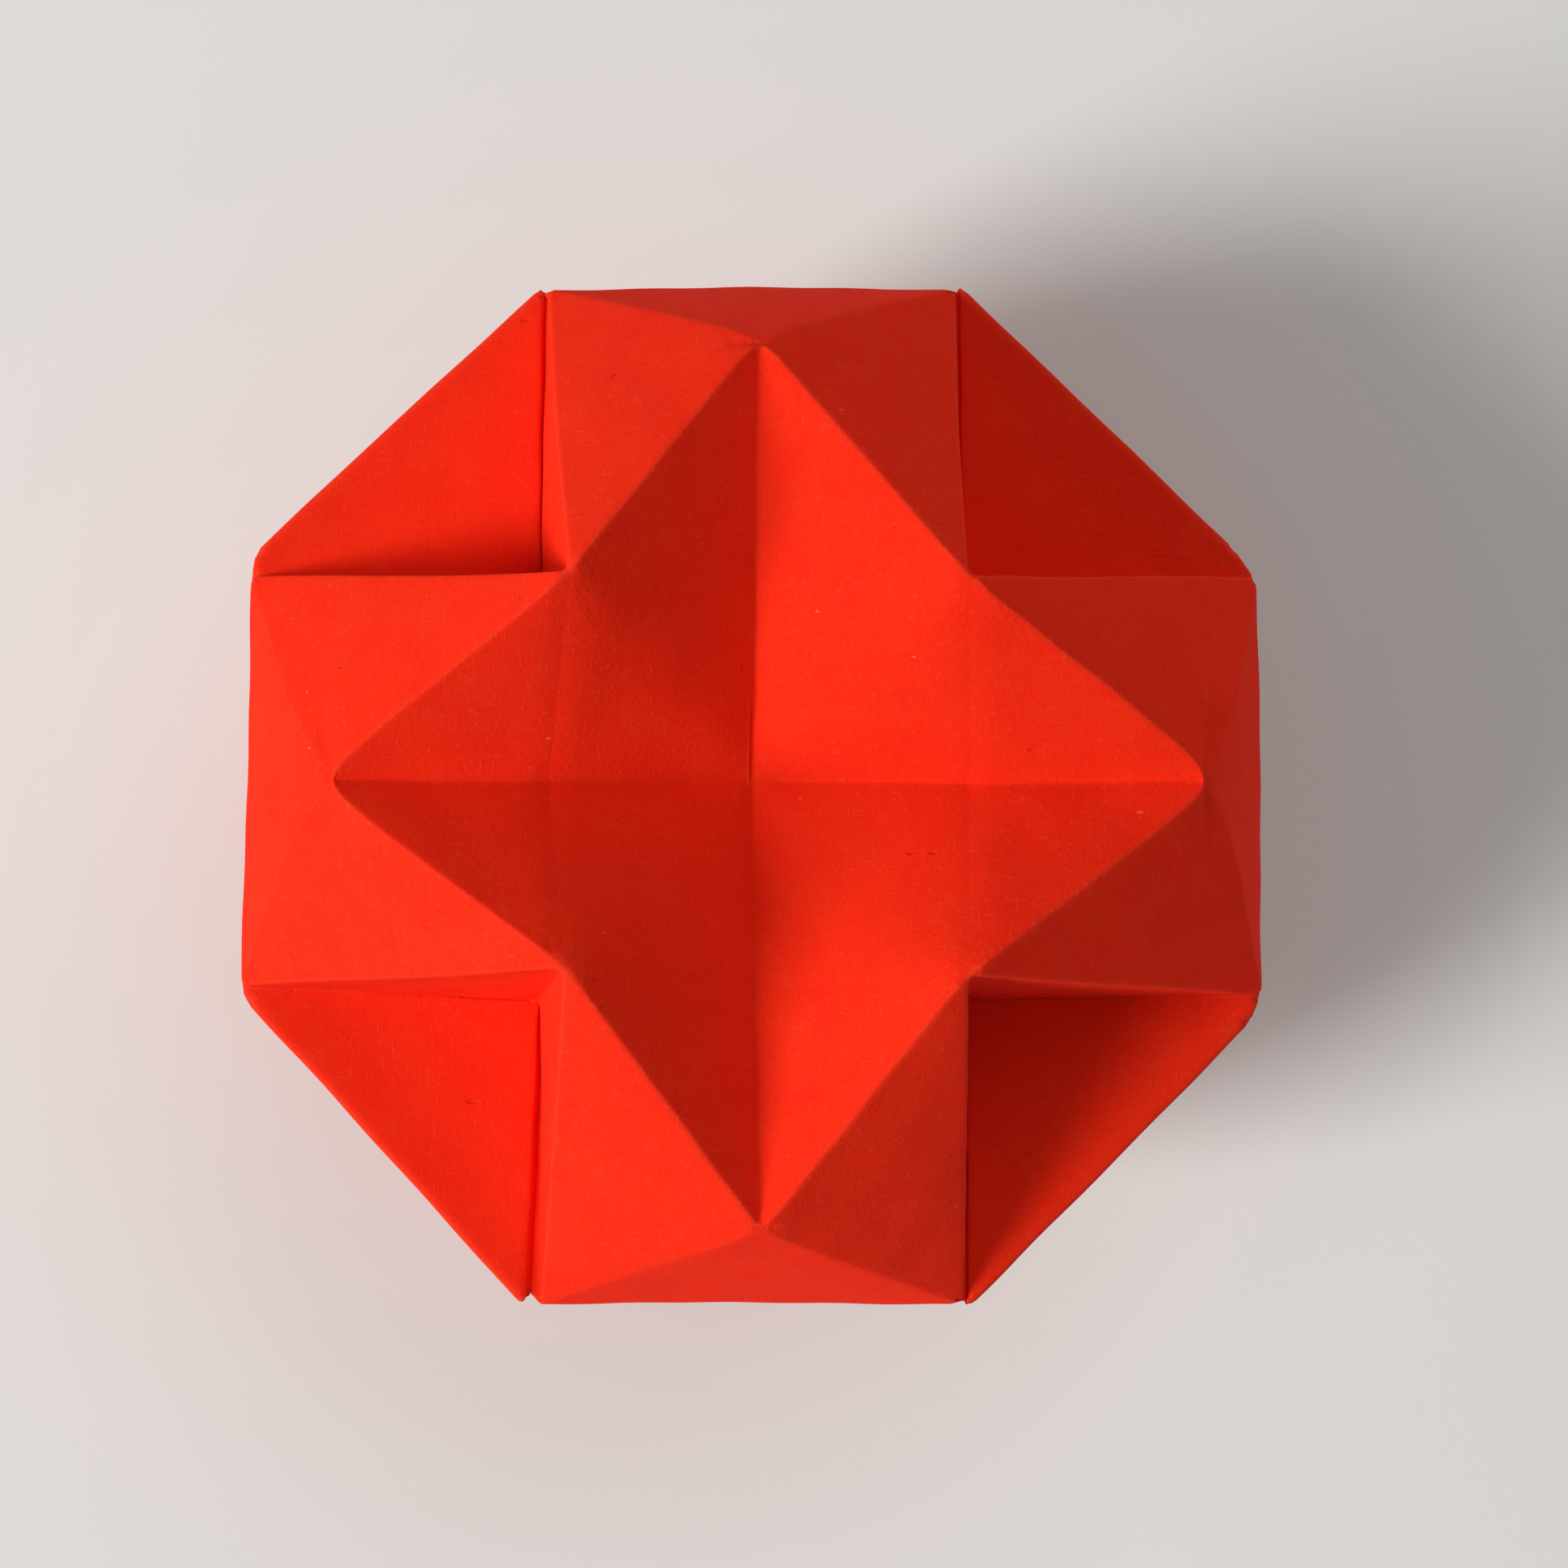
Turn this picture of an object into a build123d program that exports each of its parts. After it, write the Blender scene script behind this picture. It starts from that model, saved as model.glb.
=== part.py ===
from build123d import *
import math
import os

import numpy as np

# A ball-shaped box folded from two square sheets of paper: a lid pushed down over a base.
# Both sheets carry the same folds: a four-pointed star sunk into the crown, a raised brow
# outside each star tip, a right-angled pit in each corner and an upright eight-sided wall.
# The box stands on the four inner corners of the star in its base. Z is up, millimetres.

# Lid, seen from above
across_flats = 90.5
flat_width = 37.5
crown_reach = 15.75
bend_reach = 17.2
tip_reach = 35.8

# Heights above the eight corners at the top of the wall
crown_rise = 24.6
tip_rise = 16.5
bend_rise = 15.2
star_floor_rise = 8.3

# Wall, sheet and fits
lid_wall_depth = 18.75
base_wall_depth = 18.75
paper_thickness = 0.2
slit_width = 0.25
lid_play = 0.3

# The spare paper of each corner lies folded twice behind the pit and the wall beside it
tuck_layers = 2
tuck_thickness = tuck_layers * paper_thickness
lining_thickness = paper_thickness + tuck_thickness
base_inset = lining_thickness + lid_play

quarter_count = 4
quarter_turn = 360 / quarter_count


def plan_of(inset):
    """Half width, half flat and plan share of a sheet whose walls stand the inset inside the lid's."""
    half_width = across_flats / 2 - inset
    half_flat = flat_width / 2 - inset * (math.sqrt(2) - 1)
    plan_share = half_width / (across_flats / 2)
    return half_width, half_flat, plan_share


def fold_points(inset, wall_depth):
    """Corner points of a folded sheet by name and quarter turn, star up, wall corners at zero."""
    half_width, half_flat, plan_share = plan_of(inset)
    crown = crown_reach * plan_share
    first_quarter = {
        "tip": (0, tip_reach * plan_share, tip_rise * plan_share),
        "bend": (0, bend_reach * plan_share, bend_rise * plan_share),
        "crown": (crown, crown, crown_rise * plan_share),
        "pit_foot": (half_flat, half_flat, 0),
        "left_corner": (-half_flat, half_width, 0),
        "right_corner": (half_flat, half_width, 0),
        "left_rim": (-half_flat, half_width, -wall_depth),
        "right_rim": (half_flat, half_width, -wall_depth),
    }
    points = {("star_floor", 0): np.array((0, 0, star_floor_rise * plan_share))}
    for quarter in range(quarter_count):
        for name, place in first_quarter.items():
            points[name, quarter] = np.array(tuple(Vector(*place).rotate(Axis.Z, -quarter_turn * quarter)))
    return points


def fold_facets():
    """Flat facets between the folds, each a loop of point keys that runs anticlockwise from outside."""
    facets = []
    star_floor = ("star_floor", 0)
    for quarter in range(quarter_count):
        before = (quarter - 1) % quarter_count
        after = (quarter + 1) % quarter_count
        tip, bend, pit_foot = ("tip", quarter), ("bend", quarter), ("pit_foot", quarter)
        crown, crown_before = ("crown", quarter), ("crown", before)
        left_corner, right_corner = ("left_corner", quarter), ("right_corner", quarter)
        left_rim, right_rim = ("left_rim", quarter), ("right_rim", quarter)
        corner_after, rim_after = ("left_corner", after), ("left_rim", after)
        facets += [
            (star_floor, crown, bend),
            (star_floor, bend, crown_before),
            (bend, crown, tip),
            (bend, tip, crown_before),
            (tip, crown, right_corner),
            (tip, left_corner, crown_before),
            (tip, right_corner, left_corner),
            (crown, pit_foot, right_corner),
            (crown, corner_after, pit_foot),
            (pit_foot, corner_after, right_corner),
            (right_corner, right_rim, left_rim, left_corner),
            (corner_after, rim_after, right_rim, right_corner),
        ]
    return facets


def facet_normal(points, facet):
    """Outward unit normal of a facet, from its first three points."""
    first, second, third = (points[key] for key in facet[:3])
    normal = np.cross(second - first, third - first)
    return normal / np.linalg.norm(normal)


def inner_points(points, facets):
    """The inside of the sheet: each point moves to where its facets meet, all set in by the paper."""
    moved = {}
    for key in {key for facet in facets for key in facet}:
        normals = [facet_normal(points, facet) for facet in facets if key in facet]
        depths = [-paper_thickness] * len(normals)
        if key[0].endswith("rim"):
            normals.append(np.array((0.0, 0.0, 1.0)))
            depths.append(0.0)
        step = np.linalg.lstsq(np.array(normals), np.array(depths), rcond=None)[0]
        moved[key] = points[key] + step
    return moved


def flat_face(places):
    """A flat face round a closed loop of places."""
    return Face(Wire.make_polygon([Vector(*place) for place in places], close=True))


def paper_shell(points, facets):
    """One closed solid: the outside facets, the same facets from inside and the raw edge between."""
    inside = inner_points(points, facets)
    faces = [flat_face([points[key] for key in facet]) for facet in facets]
    faces += [flat_face([inside[key] for key in reversed(facet)]) for facet in facets]
    for facet in facets:
        rim = [key for key in facet if key[0].endswith("rim")]
        if rim:
            first, second = rim
            faces.append(flat_face([points[second], points[first], inside[first], inside[second]]))
    return Solid(Shell(faces))


def tucked_fold(inset, wall_depth):
    """Spare paper of one corner: a lining under half the pit's floor and behind half the corner wall."""
    half_width, half_flat, _ = plan_of(inset)
    middle = (half_width + half_flat) / 2
    top = -paper_thickness / 2
    under_floor = flat_face([
        (half_flat - paper_thickness, half_flat, top),
        (half_flat, half_flat, top),
        (middle, middle, top),
        (half_flat, half_width, top),
        (half_flat - paper_thickness, half_width - paper_thickness, top),
    ])
    floor_lining = extrude(under_floor, amount=lining_thickness + top, dir=(0, 0, -1))
    set_in = paper_thickness / 2 / math.sqrt(2)
    behind_wall = flat_face([
        (half_flat - set_in, half_width - set_in, top),
        (middle - set_in, middle - set_in, top),
        (middle - set_in, middle - set_in, -wall_depth),
        (half_flat - set_in, half_width - set_in, -wall_depth),
    ])
    wall_lining = extrude(behind_wall, amount=lining_thickness + top, dir=(-1, -1, 0))
    return floor_lining + wall_lining


def fold_slit(inset):
    """The gap at the foot of one pit wall, where the pit's floor turns under to the tucked fold."""
    half_width, half_flat, _ = plan_of(inset)
    slit = Box(slit_width, half_width - half_flat, paper_thickness, align=(Align.MIN, Align.MIN, Align.MAX))
    return Pos(half_flat, half_flat, 0) * slit


def at_four_corners(shape):
    """A corner's shape with its mirror images, so that every tuck lies beside the flats across Y."""
    beside = [shape, mirror(shape, about=Plane.YZ)]
    return beside + [mirror(each, about=Plane.XZ) for each in beside]


def folded_sheet(inset, wall_depth):
    """One sheet, folded: the facets of paper, its four tucked folds and the slits that lead to them."""
    sheet = paper_shell(fold_points(inset, wall_depth), fold_facets())
    for tuck in at_four_corners(tucked_fold(inset, wall_depth)):
        sheet = sheet + tuck
    for slit in at_four_corners(fold_slit(inset)):
        sheet = sheet - slit
    return sheet


def make_base():
    """The base, star down, standing on the four inner corners of its star."""
    plan_share = plan_of(base_inset)[2]
    sheet = mirror(folded_sheet(base_inset, base_wall_depth), about=Plane.XY)
    return Pos(0, 0, crown_rise * plan_share) * sheet


def make_lid():
    """The lid, star up, pushed down until the folds in its corners rest on the base's raw edge."""
    plan_share = plan_of(base_inset)[2]
    base_rim_height = crown_rise * plan_share + base_wall_depth
    return Pos(0, 0, base_rim_height + lining_thickness) * folded_sheet(0, lid_wall_depth)


def main():
    os.makedirs("parts", exist_ok=True)
    export_step(make_lid(), "parts/lid.step")
    export_step(make_base(), "parts/base.step")


main()
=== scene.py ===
"""A ball-shaped paper box, folded from two square sheets: a lid with a sunk star, and its base."""

import math

import bpy
import numpy as np
from bpy.props import FloatProperty, FloatVectorProperty, IntProperty, PointerProperty
from mathutils import Matrix, Vector


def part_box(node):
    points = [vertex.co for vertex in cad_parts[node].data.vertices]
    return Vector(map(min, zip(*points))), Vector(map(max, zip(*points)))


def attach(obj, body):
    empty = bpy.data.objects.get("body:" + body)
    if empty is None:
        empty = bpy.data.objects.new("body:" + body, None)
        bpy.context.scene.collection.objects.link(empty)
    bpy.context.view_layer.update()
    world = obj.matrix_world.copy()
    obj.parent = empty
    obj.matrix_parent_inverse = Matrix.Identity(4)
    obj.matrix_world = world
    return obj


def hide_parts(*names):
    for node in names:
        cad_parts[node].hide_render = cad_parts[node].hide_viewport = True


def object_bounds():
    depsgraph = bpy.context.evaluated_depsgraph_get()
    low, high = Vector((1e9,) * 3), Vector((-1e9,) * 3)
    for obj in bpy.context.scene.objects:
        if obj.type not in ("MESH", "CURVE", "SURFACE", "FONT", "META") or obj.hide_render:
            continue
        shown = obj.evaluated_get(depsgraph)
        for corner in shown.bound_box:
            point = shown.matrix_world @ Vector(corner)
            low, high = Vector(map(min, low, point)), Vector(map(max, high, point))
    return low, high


bl_info = {
    "name": "Folded Paper Box",
    "version": (1, 0, 0),
    "blender": (4, 5, 0),
    "location": "View3D > Sidebar > Paper Box",
    "description": "Folds the lid and the base of a ball-shaped paper box and lights them",
    "category": "Add Mesh",
}

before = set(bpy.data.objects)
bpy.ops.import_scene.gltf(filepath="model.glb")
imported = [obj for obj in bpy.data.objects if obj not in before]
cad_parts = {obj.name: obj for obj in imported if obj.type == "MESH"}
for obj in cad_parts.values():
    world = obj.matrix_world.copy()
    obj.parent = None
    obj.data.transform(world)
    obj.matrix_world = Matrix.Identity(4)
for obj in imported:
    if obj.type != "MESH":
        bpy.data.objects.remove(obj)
cad_low, cad_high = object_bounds()
lid_low, lid_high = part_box("lid")
base_low, base_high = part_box("base")
lid_half_width = (lid_high.x - lid_low.x) / 2
base_half_width = (base_high.x - base_low.x) / 2

MM = 0.001
QUARTER_COUNT = 4

# Hand folding leaves the lid's points a little off their true places: millimetres right, away and up
LID_DRIFT_MM = {
    ("star_floor", 0): (-0.5, 0.1, 0.0),
    ("tip", 0): (-0.3, 0.9, -0.1),
    ("tip", 1): (2.5, 0.0, -0.3),
    ("tip", 2): (-0.2, -1.0, -0.1),
    ("tip", 3): (-0.8, -0.1, -0.3),
    ("bend", 0): (-0.45, 0.0, 0.0),
    ("bend", 1): (0.0, 0.0, -0.9),
    ("bend", 2): (-0.35, 0.0, 0.0),
    ("bend", 3): (-0.4, 0.0, -1.2),
    ("crown", 0): (0.0, 0.0, 0.5),
    ("crown", 1): (0.0, 0.3, 0.5),
    ("crown", 2): (0.3, 0.9, 0.9),
    ("crown", 3): (0.4, 0.0, 0.5),
    ("pit_foot", 2): (-0.2, -0.1, 0.0),
    ("pit_foot", 3): (-0.4, 0.1, 0.0),
    ("left_corner", 0): (-0.2, -0.2, 0.0),
    ("right_corner", 0): (-0.8, 0.45, 0.0),
    ("left_corner", 1): (0.5, 0.5, 0.0),
    ("right_corner", 1): (0.75, 0.0, 0.0),
    ("left_corner", 2): (-0.1, -0.75, 0.0),
    ("right_corner", 2): (-0.15, -0.45, 0.0),
    ("left_corner", 3): (-0.15, 1.0, 0.0),
    ("right_corner", 3): (0.2, -0.2, 0.0),
}

# The base's feet are blunt too, so they start this much longer
BASE_DRIFT_MM = {("crown", quarter): (0.0, 0.0, 0.5) for quarter in range(QUARTER_COUNT)}

# The gap between each pit's floor and the wall beside it, at the pit's foot and at the wall's corner, and
# how far the fold there stands proud of the wall, in millimetres
LID_SLIT_MM = {0: (0.1, 0.45, 0.4), 1: (0.1, 0.35, 0.35), 2: (0.15, 1.5, 0.15), 3: (0.05, 0.45, 0.35)}
BASE_SLIT_MM = {quarter: (0.1, 0.35, 0.3) for quarter in range(QUARTER_COUNT)}

# Beside each pit's plain corner the wall turns in two steps: the second one from the corner, in
# millimetres right and away
LID_HEEL_MM = {0: (-1.9, 2.8), 1: (-1.0, -2.4), 2: (0.45, -1.4), 3: (0.4, 2.3)}
BASE_HEEL_MM = {0: (-0.8, 1.6), 1: (-0.8, -1.6), 2: (0.8, -1.6), 3: (0.8, 1.6)}

# The star's tips are folded sharp and then pressed blunt: how far each is drawn in, in millimetres, and how
# many times as far beside the tip and behind it the move fades out
LID_TIP_MM = {0: 0.8, 1: 1.75, 2: 0.5, 3: 1.8}
BASE_TIP_MM = {quarter: 0.8 for quarter in range(QUARTER_COUNT)}
TIP_FADE_ASIDE = 4
TIP_FADE_BACK = 6

# A turned fold's layer, in sheets of paper, and the places of its points in shares of that layer or the slit
LAYER_SHEETS = 2.2
FOOT_LAYERS = 0.6
UNDER_FOOT_SLITS = 0.8
TURN_UNDER_SLITS = 0.6
TURN_UNDER_LAYERS = 0.2
TUCK_END_LAYERS = 1.5

# The end of a turned fold is round: how far its middle lies inside the end, and its radius
FOLD_END_DEPTH = 1.2 * MM
FOLD_END_RADIUS = 0.75 * MM

# Points at the top of the upright wall, each with a point of the raw rim below it
WALL_POINTS = ("left_corner", "right_corner", "heel", "turn_over", "turn_under", "tuck_end")

# How far the middle of each kind of facet swells out of its plane, in millimetres
SWELL_MM = {
    "star": 0.0, "wing": 0.1, "shoulder": 0.28, "brow": 0.2, "pit_wall": 0.0, "pit_floor": -0.1, "wall": 0.3,
    "tuck": 0.0,
}

# What brings a swell to its full height in the middle of a patch, with three sides and with four
THREE_SIDED_PEAK = 27
FOUR_SIDED_PEAK = 16

# Power by which mesh steps crowd to the edges, softness of the crease in the star's facets, and the distance
# below which two points are one
STEP_CROWDING = 1.6
CREASE_SOFTNESS = 1.5
JOINING_DISTANCE = 0.001 * MM

# Waves in the paper: lengths of the long, short and fine ones, the shares of the last two, the level heading
# of the fine one that moves the paper up, and where each starts, in radians, for moves right, away and up
WAVE_LENGTHS_MM = (41, 23, 9)
SHORT_WAVE_SHARE = 0.5
FINE_WAVE_SHARE = 0.35
FINE_WAVE_HEADING = (0.8, 0.6)
WAVE_STARTS = ((0.7, 2.1, 0.9), (1.9, 0.4, 2.6), (0.3, 1.2, 1.7))

# How far round a point its folds run together and go blunt, in millimetres, and how that is done: in so many
# rounds, each of which moves a point by this share of the way to its neighbours
BLUNT_MM = {
    "crown": 1.2, ("crown", 2): 2.4, "tip": 0.8, "pit_foot": 0.8, ("pit_foot", 2): 1.6,
    "turn_over": 1.1, ("left_corner", 1): 0.8, ("right_corner", 1): 0.8, ("left_corner", 3): 0.8,
    ("right_corner", 3): 0.8, "heel": 0.8,
}
BLUNT_ROUNDS = 24
BLUNT_MOVE = 0.5

# How far round a point the paper is crumpled by the folding, in millimetres
CRUMPLE_MM = {"crown": 8.0, "tip": 4.0, "star_floor": 3.0, "left_corner": 4.0, "right_corner": 4.0}

# A thin pleat of spare paper beside the star's far valley: its line, half width, two ends and fade
PLEAT_LINE = -0.87 * MM
PLEAT_HALF_WIDTH = 0.2 * MM
PLEAT_ENDS = (-0.4 * MM, 6.9 * MM)
PLEAT_FADE = 1.0 * MM

# Size of the crumples, and spacing of the dust specks and the dents
CRUMPLE_SIZE = 1.6 * MM
SPECK_SPACING = 4 * MM
DENT_SPACING = 3.3 * MM

# One over the radius of a speck and of a dent, in shares of their spacing
SPECK_SHARPNESS = 30
DENT_SHARPNESS = 14

# Stretch of the fibres that run right and away, and the turn, in radians, and stretch of specks and dents
FIBRE_STRETCH = (0.25, 1, 0.6)
CROSS_FIBRE_STRETCH = (1, 0.22, 0.6)
SPECK_TURN = (0.4, 0.3, 0.9)
SPECK_STRETCH = (0.4, 1, 1)

# Mean of a noise, and how far the roughness swings with the tooth
NOISE_MEAN = 0.5
ROUGHNESS_SWING = 0.2

# Share of the wear colour that each kind of wear brings; on the ridges that share is also a painted
# highlight
RIDGE_WEAR_AND_HIGHLIGHT = 0.15
TOOTH_WEAR = 0.09
FIBRE_WEAR = 0.1
DUST_WEAR = 0.75

# Height of each kind of detail in the bump, in shares of the bump's own height
BUMP_HEIGHT = 0.11 * MM
TOOTH_HEIGHT = 0.4
FIBRE_HEIGHT = 0.2
CLOUD_HEIGHT = 0.6
CRUMPLE_HEIGHT = 1.8
PLEAT_HEIGHT = 1.2
DENT_HEIGHT = 0.8

# The camera, from the photograph's perspective: offsets from the wall corners' height in half widths
FRAME_PIXELS = 1932
FOCAL_PIXELS = 2552.5
SENSOR_MM = 36.0
CAMERA_OFFSET_SHARES = (-0.1514, -0.1780, 4.0979)
CAMERA_LEAN = (-0.0453, 0.0509, -0.0027)
CAMERA_CLIP_START = 0.01

# Width, height and distance of the light panels and half the floor's width, in metres
KEY_PANEL = (0.6, 0.9, 2.0)
FILL_PANEL = (1.8, 1.8, 2.0)
FLOOR_HALF_WIDTH = 3.0

# Where the fill light stands: anticlockwise from the right, and above the floor
FILL_TURN = math.radians(60)
FILL_HEIGHT = math.radians(38)


class PaperFolds(bpy.types.PropertyGroup):
    """Where the folds lie, measured on the lid."""

    flat_width: FloatProperty(
        name="Flat Width", description="Width of a wall flat under a star tip",
        default=37.5 * MM, unit="LENGTH", precision=4)
    crown_reach: FloatProperty(
        name="Crown Reach", description="Star's inner corners from either middle plane",
        default=15.75 * MM, unit="LENGTH", precision=4)
    tip_reach: FloatProperty(
        name="Tip Reach", description="Star tips from the axis",
        default=35.8 * MM, unit="LENGTH", precision=4)
    crown_rise: FloatProperty(
        name="Crown Rise", description="Star's inner corners above the wall",
        default=24.6 * MM, unit="LENGTH", precision=4)
    tip_rise: FloatProperty(
        name="Tip Rise", description="Star tips above the wall",
        default=16.5 * MM, unit="LENGTH", precision=4)
    star_floor_rise: FloatProperty(
        name="Star Floor Rise", description="Middle of the star above the wall",
        default=8.3 * MM, unit="LENGTH", precision=4)
    bend_reach: FloatProperty(
        name="Bend Reach", description="Bends in the star's valleys from the axis",
        default=17.2 * MM, unit="LENGTH", precision=4)
    bend_rise: FloatProperty(
        name="Bend Rise", description="Bends in the star's valleys above the wall",
        default=15.2 * MM, unit="LENGTH", precision=4)
    wall_depth: FloatProperty(
        name="Wall Depth", description="Upright wall of either sheet",
        default=18.75 * MM, unit="LENGTH", precision=4)
    thickness: FloatProperty(
        name="Paper Thickness", description="Thickness of the sheet",
        default=0.2 * MM, unit="LENGTH", precision=5)
    fold_width: FloatProperty(
        name="Fold Width", description="Paper that bends at each side of a pressed fold",
        default=0.25 * MM, unit="LENGTH", precision=5)
    ridge_width: FloatProperty(
        name="Ridge Width", description="Paper that bends at each side of the star's ridges",
        default=0.3 * MM, unit="LENGTH", precision=5)
    rim_width: FloatProperty(
        name="Rim Width", description="Paper that bends at each side of the fold round the top of the wall",
        default=0.9 * MM, unit="LENGTH", precision=5)
    upright_width: FloatProperty(
        name="Upright Width", description="Paper that bends at each side of the wall's upright corners",
        default=0.7 * MM, unit="LENGTH", precision=5)
    crease_width: FloatProperty(
        name="Crease Width", description="Paper that bends at each side of a flattened crease in the star",
        default=2.5 * MM, unit="LENGTH", precision=5)
    warp: FloatProperty(
        name="Warp", description="Height of the slow waves in the flat paper",
        default=0.1 * MM, unit="LENGTH", precision=5)
    steps: IntProperty(
        name="Steps", description="Mesh steps along each edge of a facet", default=28, min=4, max=40)


class PaperFinish(bpy.types.PropertyGroup):
    """Colour and surface of the paper."""

    red: FloatVectorProperty(
        name="Red", description="Paper colour", subtype="COLOR", size=3, min=0.0, max=1.0,
        default=(0.86, 0.025, 0.0062))
    deep_red: FloatVectorProperty(
        name="Deep Red", description="Darker clouds in the pulp", subtype="COLOR", size=3, min=0.0, max=1.0,
        default=(0.84, 0.020, 0.005))
    # Paler red of fibres and dust, also painted along the ridges as a highlight
    worn_and_highlight_red: FloatVectorProperty(
        name="Worn Red", description="Rubbed fibres along the folds, and dust", subtype="COLOR", size=3,
        min=0.0, max=1.0, default=(0.90, 0.14, 0.07))
    roughness: FloatProperty(
        name="Roughness", description="Mean roughness of the sheet", default=0.75, min=0.0, max=1.0)
    tooth_size: FloatProperty(
        name="Tooth Size", description="Size of the paper's tooth",
        default=0.35 * MM, unit="LENGTH", precision=5)
    cloud_size: FloatProperty(
        name="Cloud Size", description="Size of the clouds in the pulp",
        default=4.0 * MM, unit="LENGTH", precision=4)


class StageLook(bpy.types.PropertyGroup):
    """Floor and light."""

    floor_colour: FloatVectorProperty(
        name="Floor", description="Plain pale floor", subtype="COLOR", size=3, min=0.0, max=1.0,
        default=(0.80, 0.79, 0.76))
    key_power: FloatProperty(
        name="Key Light", description="Power of the window-like light", default=42.5, unit="POWER")
    fill_power: FloatProperty(
        name="Fill Light", description="Power of the broad light from the far side",
        default=9.4, unit="POWER")
    key_height: FloatProperty(
        name="Key Height", description="How high the key light stands above the floor",
        default=math.radians(30), subtype="ANGLE")
    key_turn: FloatProperty(
        name="Key Turn", description="How far the key light stands to the near side of left",
        default=math.radians(20), subtype="ANGLE")
    sky: FloatProperty(
        name="Sky", description="Strength of the even light from all round", default=0.245, min=0.0)
    backdrop: FloatProperty(
        name="Backdrop", description="How pale the camera sees the space beyond the floor",
        default=0.7, min=0.0, max=1.0)


def turned(place, quarter):
    """A place turned clockwise about the upright axis by whole quarters."""
    angle = -math.pi / 2 * quarter
    x, y, z = place
    return np.array((
        x * math.cos(angle) - y * math.sin(angle),
        x * math.sin(angle) + y * math.cos(angle),
        z,
    ))


def below(key):
    """The key of the rim point under a point at the top of the wall."""
    return ("rim_of_" + key[0], key[1])


def pit_corners(quarter):
    """A pit's two wall corners: the one with the tucked fold, beside a flat across Y, and the plain one."""
    here = ("right_corner", quarter)
    after = ("left_corner", (quarter + 1) % QUARTER_COUNT)
    return (here, after) if quarter % 2 == 0 else (after, here)


def spare_paper_points(points, quarter, slit_mm, heel_mm, layer):
    """The points that the spare paper of one pit adds, from those of the pit's foot and its wall corners.

    Two lie at the pit's foot, one beside the plain corner, and two at the other corner, where the floor
    turns under. The last is the end of the tucked fold, behind the middle of the wall below the pit.
    """
    tucked, plain = pit_corners(quarter)
    foot, corner, far_corner = points["pit_foot", quarter], points[tucked], points[plain]
    along = np.array((math.copysign(1, corner[0]), 0, 0))
    outward = np.array((0, math.copysign(1, corner[1]), 0))
    up = np.array((0, 0, 1))
    inward = -(along + outward) / math.sqrt(2)
    foot_slit, corner_slit, proud = (width * MM for width in slit_mm)
    turn_under = corner + along * TURN_UNDER_SLITS * corner_slit - outward * TURN_UNDER_LAYERS * layer
    return {
        ("floor_foot", quarter): foot + along * foot_slit + up * FOOT_LAYERS * layer,
        ("under_foot", quarter): foot + along * UNDER_FOOT_SLITS * foot_slit - up * FOOT_LAYERS * layer,
        ("heel", quarter): far_corner + np.array((*heel_mm, 0)) * MM,
        ("turn_over", quarter): corner + along * corner_slit + outward * proud + up * layer,
        ("turn_under", quarter): turn_under,
        ("tuck_end", quarter): (corner + far_corner) / 2 + (inward - up) * TUCK_END_LAYERS * layer,
    }


def fold_points(folds, half_width, slits_mm, heels_mm, drift_mm):
    """Corner points of a folded sheet by name and quarter turn, star up, wall corners at zero.

    Each quarter is the first one turned clockwise, and then the points drift. The spare paper of each pit
    adds its own points, and below every point at the top of the wall lies one of the rim.
    """
    share = half_width / lid_half_width
    half_flat = folds.flat_width / 2 - (lid_half_width - half_width) * (math.sqrt(2) - 1)
    crown = folds.crown_reach * share
    first_quarter = {
        "tip": (0, folds.tip_reach * share, folds.tip_rise * share),
        "bend": (0, folds.bend_reach * share, folds.bend_rise * share),
        "crown": (crown, crown, folds.crown_rise * share),
        "pit_foot": (half_flat, half_flat, 0),
        "left_corner": (-half_flat, half_width, 0),
        "right_corner": (half_flat, half_width, 0),
    }
    points = {("star_floor", 0): np.array((0, 0, folds.star_floor_rise * share))}
    for quarter in range(QUARTER_COUNT):
        for name, place in first_quarter.items():
            points[name, quarter] = turned(place, quarter)
    for key, drift in drift_mm.items():
        points[key] = points[key] + np.array(drift) * MM
    layer = LAYER_SHEETS * folds.thickness
    for quarter in range(QUARTER_COUNT):
        points.update(spare_paper_points(points, quarter, slits_mm[quarter], heels_mm[quarter], layer))
    for key in [key for key in points if key[0] in WALL_POINTS]:
        rim = points[key].copy()
        rim[2] = -folds.wall_depth
        points[below(key)] = rim
    return points


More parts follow.
